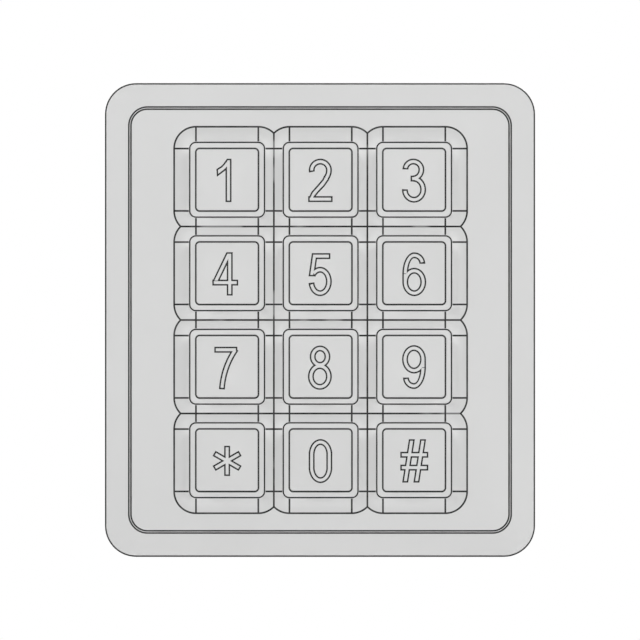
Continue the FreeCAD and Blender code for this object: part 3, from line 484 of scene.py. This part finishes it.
gloss(tree, shader, calc(tree, "SUBTRACT", fade(tree, texture["Shade"], 0.3, 0.8, 0.48, 0.55), smoothed))
raised(tree, shader, texture["Height"], 0.02, 0.12)



def moulded_finish(name, colour, grain, shade, shade_colour, roughness, relief, **constants):
    """The finish of a plainly moulded piece: grain, a cloudy second shade, uneven gloss and relief."""
    made, tree, shader, place = finish(name, colour, sum(roughness) / 2, **constants)
    texture = used(tree, moulded, Place=place, Grain=grain)
    tinted(tree, shader, fade(tree, texture["Shade"], 0.35, 0.75, 0.0, shade), shade_colour)
    gloss(tree, shader, fade(tree, texture["Height"], 0.3, 0.7, *roughness))
    raised(tree, shader, texture["Height"], *relief)
    return made


legend_satin = moulded_finish("legend_plastic", (0.672, 0.672, 0.668), 6.0, 0.05, (0.64, 0.64, 0.63),
                              (0.43, 0.50), (0.015, 0.10), Specular_IOR_Level=0.32)
dress(key_satin, *(f"key_{name}_cap" for name in key_names))
dress(legend_satin, *(f"key_{name}_legend" for name in key_names))

# ---- Switch mat -----------------------------------------------------------------------------------
# One sheet of moulded silicone with a rubber dome under each key. A dome buckles as its key goes in and
# touches its carbon pill to the board; each dome and each pill is a piece of its own.


def turned(name, outline_mm, centre, steps=40):
    """A closed mesh turned about a line along Y; the outline is (radius, y) in millimetres."""
    solid = bmesh.new()
    rings = []
    for radius, y_mm in outline_mm:
        if radius < 1e-6:
            rings.append([solid.verts.new((centre.x / 1000, y_mm / 1000, centre.z / 1000))])
            continue
        rings.append([
            solid.verts.new((
                (centre.x + radius * math.cos(math.tau * k / steps)) / 1000,
                y_mm / 1000,
                (centre.z + radius * math.sin(math.tau * k / steps)) / 1000,
            ))
            for k in range(steps)
        ])
    for first, second in zip(rings, rings[1:]):
        for k in range(steps):
            corners = [first[k % len(first)], first[(k + 1) % len(first)],
                       second[(k + 1) % len(second)], second[k % len(second)]]
            corners = [c for i, c in enumerate(corners) if c not in corners[:i]]
            if len(corners) > 2:
                solid.faces.new(corners)
    bmesh.ops.recalc_face_normals(solid, faces=solid.faces)
    mesh = bpy.data.meshes.new(name)
    solid.to_mesh(mesh)
    solid.free()
    for face in mesh.polygons:
        face.use_smooth = True
    mesh.set_sharp_from_angle(angle=math.radians(35))
    return mesh


silicone = moulded_finish("grey_silicone", (0.56, 0.58, 0.60), 3.0, 0.3, (0.48, 0.50, 0.52),
                          (0.52, 0.66), (0.02, 0.2), Subsurface_Weight=0.12, Subsurface_Scale=0.0006)
carbon, tree, shader, place = finish("carbon_rubber", (0.012, 0.012, 0.013), 0.75)
tinted(tree, shader, fade(tree, noise(tree, place, 6.0, 4.0), 0.4, 0.7, 0.0, 0.6), (0.03, 0.03, 0.032))
raised(tree, shader, noise(tree, place, 8.0, 4.0), 0.02, 0.3)

mat_low, mat_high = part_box("keypad_mat")
board_low, board_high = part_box("circuit_board")
pill_low, pill_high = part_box("contact_pills")
web = 1.0
mat_top, mat_back = mat_low.y * 1000, mat_high.y * 1000
web_front = mat_back - web
pill_front, pill_back = pill_low.y * 1000, pill_high.y * 1000
dome_base, dome_waist, boss_radius, skin = 5.4, 3.0, 2.7, 0.5
pill_seat, pill_radius = 2.25, 2.0
boss_foot = mat_top + 1.4
dome_profile = [
    (0.0, mat_top), (boss_radius - 0.3, mat_top), (boss_radius, mat_top + 0.3),
    (boss_radius, boss_foot - 0.2), (dome_waist, boss_foot), (dome_waist + 0.7, boss_foot + 0.24),
    (dome_base - 0.6, web_front - 0.28), (dome_base, web_front), (dome_base, mat_back),
    (dome_base - skin, mat_back), (dome_base - skin, web_front + 0.3),
    (dome_waist + 0.4, boss_foot + skin + 0.2), (dome_waist, boss_foot + skin),
    (pill_seat, boss_foot + skin), (pill_seat, pill_front), (0.0, pill_front),
]
pill_profile = [
    (0.0, pill_front), (pill_radius, pill_front), (pill_radius, pill_back - 0.1),
    (pill_radius - 0.1, pill_back), (0.0, pill_back),
]
for name in key_names:
    centre = middle(f"key_{name}_cap")
    dome = new_piece(f"dome_{name}", turned(f"dome_{name}", dome_profile, centre), "housing_body", silicone)
    pill = new_piece(f"pill_{name}", turned(f"pill_{name}", pill_profile, centre), "housing_body", carbon)
    for piece in (dome, pill):
        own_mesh(piece)
    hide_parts("keypad_mat")
    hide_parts("contact_pills")


def rounded_rectangle(half_u, half_v, corner, steps=6):
    """The outline of a rounded rectangle in millimetres, anticlockwise."""
    points = []
    for turn, (su, sv) in enumerate(((1, 1), (-1, 1), (-1, -1), (1, -1))):
        for k in range(steps + 1):
            a = math.pi / 2 * (turn + k / steps)
            points.append((su * (half_u - corner) + corner * math.cos(a),
                           sv * (half_v - corner) + corner * math.sin(a)))
    return points


def sheet_with_holes(name, edge, holes, front, back):
    """A flat sheet in millimetres with holes through it, filled from its outlines."""
    solid = bmesh.new()
    for loop in [edge, *holes]:
        ring = [solid.verts.new((px / 1000, front / 1000, pz / 1000)) for px, pz in loop]
        for first, second in zip(ring, ring[1:] + ring[:1]):
            solid.edges.new((first, second))
    bmesh.ops.triangle_fill(solid, use_beauty=True, use_dissolve=False, edges=solid.edges[:])
    faces = solid.faces[:]
    grown = bmesh.ops.extrude_face_region(solid, geom=faces)
    for item in grown["geom"]:
        if isinstance(item, bmesh.types.BMVert):
            item.co.y = back / 1000
    bmesh.ops.recalc_face_normals(solid, faces=solid.faces)
    mesh = bpy.data.meshes.new(name)
    solid.to_mesh(mesh)
    solid.free()
    return mesh


def circle(centre, radius, steps=40):
    angles = [math.tau * k / steps for k in range(steps)]
    return [(centre.x + radius * math.cos(a), centre.z + radius * math.sin(a)) for a in angles]


lamp_window = rounded_rectangle(1.3, 0.9, 0.5, 4)
dome_holes = [circle(middle(f"key_{name}_cap"), dome_base + 0.01) for name in key_names]
lamp_rows = [(row - 1.5) * key_pitch for row in range(4)]
lamp_holes = [
    [(field_middle + side * key_pitch / 2 + px, z_mm + pz) for px, pz in lamp_window]
    for side in (-1, 1) for z_mm in lamp_rows
]
mat_edge = rounded_rectangle((mat_high.x - mat_low.x) * 500, (mat_high.z - mat_low.z) * 500, 2.0)
web_sheet = sheet_with_holes("mat_web", mat_edge, dome_holes + lamp_holes, web_front, mat_back)
mat_web = new_piece("mat_web", web_sheet, "housing_body", silicone)
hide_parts("keypad_mat")

# ---- Circuit board --------------------------------------------------------------------------------
# A green glass-fibre board with comb-shaped gold pads under the domes and a scatter of plated vias.
# Its lamps face the keys; the chips, buzzer and terminals are soldered on the side towards the wall.
board_green, tree, shader, place = finish("solder_mask", (0.012, 0.105, 0.045), 0.32, Coat_Weight=0.3,
                                          Coat_Roughness=0.12)
tracks = tree.nodes.new("ShaderNodeTexBrick")
for socket, value in (("Scale", 0.55), ("Mortar Size", 0.05), ("Mortar Smooth", 0.2),
                      ("Brick Width", 2.4), ("Row Height", 0.6)):
    tracks.inputs[socket].default_value = value
lay_flat = tree.nodes.new("ShaderNodeMapping")
lay_flat.inputs["Rotation"].default_value = (math.pi / 2, 0.0, 0.0)
tree.links.new(place, lay_flat.inputs["Vector"])
tree.links.new(lay_flat.outputs[0], tracks.inputs["Vector"])
copper_line = fade(tree, tracks.outputs["Fac"], 0.1, 0.6)
tinted(tree, shader, fade(tree, noise(tree, place, 0.2, 3.0), 0.3, 0.8, 0.0, 0.4), (0.010, 0.080, 0.035))
tinted(tree, shader, calc(tree, "MULTIPLY", copper_line, 0.6), (0.045, 0.21, 0.085))
raised(tree, shader, copper_line, 0.03, 0.5)

tin, tree, shader, place = finish("bright_tin", (0.74, 0.73, 0.70), 0.24, Metallic=1.0)
gloss(tree, shader, fade(tree, noise(tree, place, 3.0, 4.0), 0.3, 0.7, 0.16, 0.36))
raised(tree, shader, noise(tree, place, 4.0, 2.0), 0.02, 0.3)
gold, tree, shader, place = finish("gold_flash", (0.83, 0.62, 0.28), 0.28, Metallic=1.0)
gloss(tree, shader, fade(tree, noise(tree, place, 2.0, 3.0), 0.3, 0.7, 0.2, 0.38))
raised(tree, shader, noise(tree, place, 10.0, 2.0), 0.01, 0.25)


# gold comb pads: rows of thin bars on the board's front, one comb under each dome
combs, ins = rule("gold_combs", [
    ("Bars", "NodeSocketInt", 7), ("Bar Step", "NodeSocketFloat", 0.0006),
    ("Bar Length", "NodeSocketFloat", 0.0042), ("Bar Width", "NodeSocketFloat", 0.0003),
    ("Pitch", "NodeSocketFloat", 0.015), ("Front", "NodeSocketFloat", 0.0),
    ("Middle", "NodeSocketFloat", 0.0),
])
gold_thickness = 0.00004
bar_size = step(combs, "ShaderNodeCombineXYZ",
                {"X": ins["Bar Width"], "Y": gold_thickness, "Z": ins["Bar Length"]})[0]
one_bar = step(combs, "GeometryNodeMeshCube", {"Size": bar_size})["Mesh"]
bar_gap = step(combs, "ShaderNodeCombineXYZ", {"X": ins["Bar Step"]})[0]
bar_run = step(combs, "ShaderNodeMath", {0: ins["Bars"], 1: -1.0}, operation="ADD")[0]
half_run = step(combs, "ShaderNodeMath", {0: bar_run, 1: ins["Bar Step"]}, operation="MULTIPLY")[0]
first_bar = step(combs, "ShaderNodeMath", {0: half_run, 1: -0.5}, operation="MULTIPLY")[0]
bar_start = step(combs, "ShaderNodeCombineXYZ", {"X": first_bar})[0]
bar_line = step(combs, "GeometryNodeMeshLine",
                {"Count": ins["Bars"], "Start Location": bar_start, "Offset": bar_gap})[0]
comb = step(combs, "GeometryNodeInstanceOnPoints", {"Points": bar_line, "Instance": one_bar})["Instances"]
field_u = step(combs, "ShaderNodeMath", {0: ins["Pitch"], 1: 2.0}, operation="MULTIPLY")[0]
field_v = step(combs, "ShaderNodeMath", {0: ins["Pitch"], 1: 3.0}, operation="MULTIPLY")[0]
field = step(combs, "GeometryNodeMeshGrid",
             {"Size X": field_u, "Size Y": field_v, "Vertices X": 3, "Vertices Y": 4})
stand = step(combs, "ShaderNodeCombineXYZ", {"X": ins["Middle"], "Y": ins["Front"]})[0]
upright = step(combs, "GeometryNodeTransform", {"Geometry": field["Mesh"], "Translation": stand,
                                                "Rotation": (math.pi / 2, 0.0, 0.0)})["Geometry"]
all_combs = step(combs, "GeometryNodeInstanceOnPoints",
                 {"Points": upright, "Instance": comb})["Instances"]
grown_piece("contact_combs", combs, all_combs, gold,
            {"Pitch": key_pitch / 1000, "Front": board_low.y + 0.00001, "Middle": field_middle / 1000},
            "housing_body")

# plated vias: small domed rings scattered by a fixed seed over the board's rear face
vias, ins = rule("plated_vias", [
    ("Width", "NodeSocketFloat", 0.05), ("Height", "NodeSocketFloat", 0.06),
    ("Back", "NodeSocketFloat", 0.0), ("Via Radius", "NodeSocketFloat", 0.0003),
    ("Share", "NodeSocketFloat", 0.25), ("Seed", "NodeSocketInt", 7),
])
via_height, via_margin = 0.00006, 0.012
spots = step(vias, "GeometryNodeMeshGrid", {"Size X": ins["Width"], "Size Y": ins["Height"],
                                            "Vertices X": 18, "Vertices Y": 21})["Mesh"]
lifted = step(vias, "ShaderNodeCombineXYZ", {"Y": ins["Back"]})[0]
spots = step(vias, "GeometryNodeTransform", {"Geometry": spots, "Translation": lifted,
                                             "Rotation": (math.pi / 2, 0.0, 0.0)})["Geometry"]
kept = step(vias, "FunctionNodeRandomValue", {"Probability": ins["Share"], "Seed": ins["Seed"]},
            data_type="BOOLEAN")[3]
ring = step(vias, "GeometryNodeMeshCylinder",
            {"Vertices": 10, "Radius": ins["Via Radius"], "Depth": via_height})["Mesh"]
ring = step(vias, "GeometryNodeTransform",
            {"Geometry": ring, "Rotation": (math.pi / 2, 0.0, 0.0)})["Geometry"]
all_vias = step(vias, "GeometryNodeInstanceOnPoints",
                {"Points": spots, "Selection": kept, "Instance": ring})["Instances"]
grown_piece("board_vias", vias, all_vias, gold,
            {"Width": board_high.x - board_low.x - via_margin,
             "Height": board_high.z - board_low.z - via_margin, "Back": board_high.y + 0.00001},
            "housing_body")

black_resin, tree, shader, place = finish("black_epoxy", (0.016, 0.016, 0.017), 0.48)
tinted(tree, shader, fade(tree, noise(tree, place, 2.0, 4.0), 0.4, 0.8, 0.0, 0.5), (0.03, 0.03, 0.032))
raised(tree, shader, noise(tree, place, 12.0, 3.0), 0.015, 0.3)
lamp_resin, tree, shader, place = finish("lamp_resin", (0.86, 0.80, 0.52), 0.22, Coat_Weight=0.5)
tinted(tree, shader, fade(tree, noise(tree, place, 1.5, 2.0), 0.3, 0.8, 0.0, 0.4), (0.92, 0.90, 0.80))
raised(tree, shader, noise(tree, place, 5.0, 2.0), 0.01, 0.2)
drawn_can, tree, shader, place = finish("drawn_aluminium", (0.74, 0.74, 0.75), 0.3, Metallic=1.0)
drawn_lines = tree.nodes.new("ShaderNodeMapping")
drawn_lines.inputs["Scale"].default_value = (6.0, 0.4, 6.0)
tree.links.new(place, drawn_lines.inputs["Vector"])
gloss(tree, shader, fade(tree, noise(tree, drawn_lines.outputs[0], 2.0, 3.0), 0.3, 0.7, 0.22, 0.42))
raised(tree, shader, noise(tree, drawn_lines.outputs[0], 3.0, 2.0), 0.01, 0.2)
dress(board_green, "circuit_board")
dress(plated_steel, "board_screws")
dress(lamp_resin, "backlight_lamps")
dress(drawn_can, "crystal", "capacitors")
dress(black_resin, "controller_chip", "chip_parts", "voltage_regulator", "buzzer")

# ---- Terminals ------------------------------------------------------------------------------------
# An eight-way terminal block in green nylon; each wire goes in from below and a screw clamps it.
# Tinned feet along its upper side are soldered to the board.
nylon_green, tree, shader, place = finish("green_nylon", (0.022, 0.16, 0.065), 0.5)
texture = used(tree, moulded, Place=place, Grain=4.0)
tinted(tree, shader, fade(tree, texture["Shade"], 0.3, 0.8, 0.0, 0.4), (0.016, 0.12, 0.05))
gloss(tree, shader, fade(tree, texture["Height"], 0.3, 0.7, 0.44, 0.56))
raised(tree, shader, texture["Height"], 0.02, 0.25)
dress(nylon_green, "terminal_block")
dress(plated_steel, "terminal_screws")
block_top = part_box("terminal_block")[1].z
feet, ins = rule("terminal_feet", [
    ("Count", "NodeSocketInt", 8), ("Pitch", "NodeSocketFloat", 0.0035), ("Back", "NodeSocketFloat", 0.0),
    ("Upper Side", "NodeSocketFloat", 0.0),
])
foot_gap = step(feet, "ShaderNodeCombineXYZ", {"X": ins["Pitch"]})[0]
gaps = step(feet, "ShaderNodeMath", {0: ins["Count"], 1: -1.0}, operation="ADD")[0]
run = step(feet, "ShaderNodeMath", {0: gaps, 1: ins["Pitch"]}, operation="MULTIPLY")[0]
left = step(feet, "ShaderNodeMath", {0: run, 1: -0.5}, operation="MULTIPLY")[0]
first_foot = step(feet, "ShaderNodeCombineXYZ", {"X": left, "Y": ins["Back"], "Z": ins["Upper Side"]})[0]
foot_line = step(feet, "GeometryNodeMeshLine", {"Count": ins["Count"], "Start Location": first_foot,
                                                "Offset": foot_gap})[0]
tab = step(feet, "GeometryNodeMeshCube", {"Size": (0.0012, 0.0003, 0.0014)})["Mesh"]
blob = step(feet, "GeometryNodeMeshUVSphere", {"Segments": 14, "Rings": 8, "Radius": 0.0008})["Mesh"]
blob = step(feet, "GeometryNodeTransform", {"Geometry": blob, "Translation": (0.0, 0.0, 0.0007),
                                            "Scale": (1.0, 0.45, 1.0)})["Geometry"]
both = step(feet, "GeometryNodeJoinGeometry")
join = feet.nodes[-1]
feet.links.new(tab, join.inputs[0])
feet.links.new(blob, join.inputs[0])
all_feet = step(feet, "GeometryNodeInstanceOnPoints",
                {"Points": foot_line, "Instance": both[0]})["Instances"]
grown_piece("terminal_feet", feet, all_feet, tin,
            {"Back": board_high.y + 0.0004, "Upper Side": block_top + 0.0008}, "housing_body")

# ---- Tamper switch --------------------------------------------------------------------------------
# A small push switch, a coil spring and a white acetal pin. The wall holds the pin in; when the unit is
# pulled away the spring lets it out and the alarm contact opens.
acetal = moulded_finish("white_acetal", (0.76, 0.75, 0.71), 3.0, 0.3, (0.70, 0.69, 0.64),
                        (0.33, 0.45), (0.02, 0.15))
dress(black_resin, "tamper_switch")
dress(acetal, "tamper_plunger")
coil_low, coil_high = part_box("tamper_spring")
wire_radius = 0.00015
coil, ins = rule("tamper_coil", [
    ("Turns", "NodeSocketFloat", 2.5), ("Coil Radius", "NodeSocketFloat", 0.002),
    ("Length", "NodeSocketFloat", 0.001), ("Wire Radius", "NodeSocketFloat", wire_radius),
    ("Middle", "NodeSocketVector", (0.0, 0.0, 0.0)),
])
path = step(coil, "GeometryNodeCurveSpiral",
            {"Resolution": 32, "Rotations": ins["Turns"], "Start Radius": ins["Coil Radius"],
             "End Radius": ins["Coil Radius"], "Height": ins["Length"]})["Curve"]
wire = step(coil, "GeometryNodeCurvePrimitiveCircle",
            {"Resolution": 12, "Radius": ins["Wire Radius"]})["Curve"]
swept = step(coil, "GeometryNodeCurveToMesh",
             {"Curve": path, "Profile Curve": wire, "Fill Caps": True})["Mesh"]
swept = step(coil, "GeometryNodeTransform", {"Geometry": swept, "Translation": ins["Middle"],
                                             "Rotation": (-math.pi / 2, 0.0, 0.0)})["Geometry"]
swept = step(coil, "GeometryNodeSetShadeSmooth", {"Geometry": swept})["Geometry"]
coil_centre = (coil_low + coil_high) / 2
spring = grown_piece("tamper_coil", coil, swept, plated_steel, {
    "Coil Radius": (coil_high.x - coil_low.x) / 2 - wire_radius,
    "Length": coil_high.y - coil_low.y - 2 * wire_radius,
    "Middle": (coil_centre.x, coil_low.y + wire_radius, coil_centre.z),
}, None)
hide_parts("tamper_spring")
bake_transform(spring)

# ---- Wall plate -----------------------------------------------------------------------------------
# The moulded plate that is screwed to the wall first; the reader hooks over it and two screws from below
# lock it. A foam gasket, a rubber cable grommet and two brass inserts belong to it.
backing = moulded_finish("wall_plate_plastic", (0.47, 0.47, 0.465), 3.2, 0.25, (0.42, 0.42, 0.415),
                         (0.52, 0.66), (0.05, 0.3))
rubber = moulded_finish("black_rubber", (0.022, 0.022, 0.023), 2.5, 0.5, (0.04, 0.04, 0.041),
                        (0.58, 0.74), (0.03, 0.3))
knurled_brass, tree, shader, place = finish("turned_brass", (0.72, 0.52, 0.24), 0.3, Metallic=1.0)
gloss(tree, shader, fade(tree, noise(tree, place, 3.0, 4.0), 0.3, 0.7, 0.22, 0.42))
raised(tree, shader, noise(tree, place, 6.0, 3.0), 0.02, 0.3)
stainless, tree, shader, place = finish("stainless_steel", (0.62, 0.61, 0.59), 0.28, Metallic=1.0)
lathe_marks = noise(tree, place, 5.0)
gloss(tree, shader, fade(tree, lathe_marks, 0.3, 0.7, 0.2, 0.38))
tinted(tree, shader, fade(tree, noise(tree, place, 0.9, 3.0), 0.4, 0.8, 0.0, 0.4), (0.52, 0.52, 0.52))
raised(tree, shader, lathe_marks, 0.01, 0.25)
dress(backing, "wall_plate")
dress(foam_black, "wall_gasket")
dress(rubber, "cable_grommet")
dress(knurled_brass, "threaded_inserts")
dress(stainless, "lock_screws")

# ---- Studio ---------------------------------------------------------------------------------------
# The reader stands on its lower edge on a pale laminate table. A white room and a lamp beside the lens
# light the face evenly, weaker lamps model the sides, and the lens sees the keys with no perspective.
laminate, tree, shader, place = finish("pale_laminate", (0.90, 0.90, 0.895), 0.7)
tinted(tree, shader, fade(tree, noise(tree, place, 0.02, 4.0), 0.3, 0.8, 0.0, 0.3), (0.86, 0.86, 0.855))
table_reach, foot_gap_m = 1.6, 0.0001
table_top = cad_bounds[0].z - foot_gap_m
sheet = bmesh.new()
sheet.faces.new([
    sheet.verts.new((side * table_reach, end * table_reach, table_top))
    for side, end in ((-1, -1), (1, -1), (1, 1), (-1, 1))
])
table = bpy.data.objects.new("table", bpy.data.meshes.new("table"))
bpy.context.collection.objects.link(table)
sheet.to_mesh(table.data)
sheet.free()
table.data.materials.append(laminate)

room = bpy.data.worlds.new("white_room")
room.use_nodes = True
bpy.context.scene.world = room
room_nodes, room_links = room.node_tree.nodes, room.node_tree.links
room_nodes.clear()
backdrop = room_nodes.new("ShaderNodeBackground")
backdrop.inputs["Color"].default_value = (1.0, 1.0, 1.0, 1.0)
backdrop.inputs["Strength"].default_value = 1.0
walls = room_nodes.new("ShaderNodeBackground")
walls.inputs["Color"].default_value = (0.98, 0.99, 1.0, 1.0)
walls.inputs["Strength"].default_value = 0.25
seen = room_nodes.new("ShaderNodeLightPath")
either = room_nodes.new("ShaderNodeMixShader")
room_out = room_nodes.new("ShaderNodeOutputWorld")
room_links.new(seen.outputs["Is Camera Ray"], either.inputs[0])
room_links.new(walls.outputs[0], either.inputs[1])
room_links.new(backdrop.outputs[0], either.inputs[2])
room_links.new(either.outputs[0], room_out.inputs["Surface"])


def soft_lamp(name, lamp_place, side, power):
    lamp = bpy.data.lights.new(name, "AREA")
    lamp.shape, lamp.size, lamp.energy = "DISK", side, power
    holder = bpy.data.objects.new(name, lamp)
    holder.location = lamp_place
    holder.rotation_euler = (-Vector(lamp_place)).to_track_quat("-Z", "Y").to_euler()
    bpy.context.collection.objects.link(holder)


soft_lamp("lens_softbox", (-0.06, -1.30, 0.12), 0.30, 6.8)
soft_lamp("left_softbox", (-0.85, -0.32, 0.55), 0.50, 2.6)
soft_lamp("right_softbox", (0.90, -0.30, 0.35), 0.50, 2.4)
soft_lamp("rear_softbox", (0.25, 0.90, 0.45), 0.50, 7.0)

lens = bpy.data.cameras.new("front_lens")
view_side = 0.10267
lens.type, lens.ortho_scale = "ORTHO", view_side
camera = bpy.data.objects.new("front_camera", lens)
camera.location = (0.0, -0.6, 0.0)
camera.rotation_euler = (math.pi / 2, 0.0, 0.0)
bpy.context.collection.objects.link(camera)
bpy.context.scene.camera = camera
bpy.context.scene.view_settings.view_transform = "Standard"
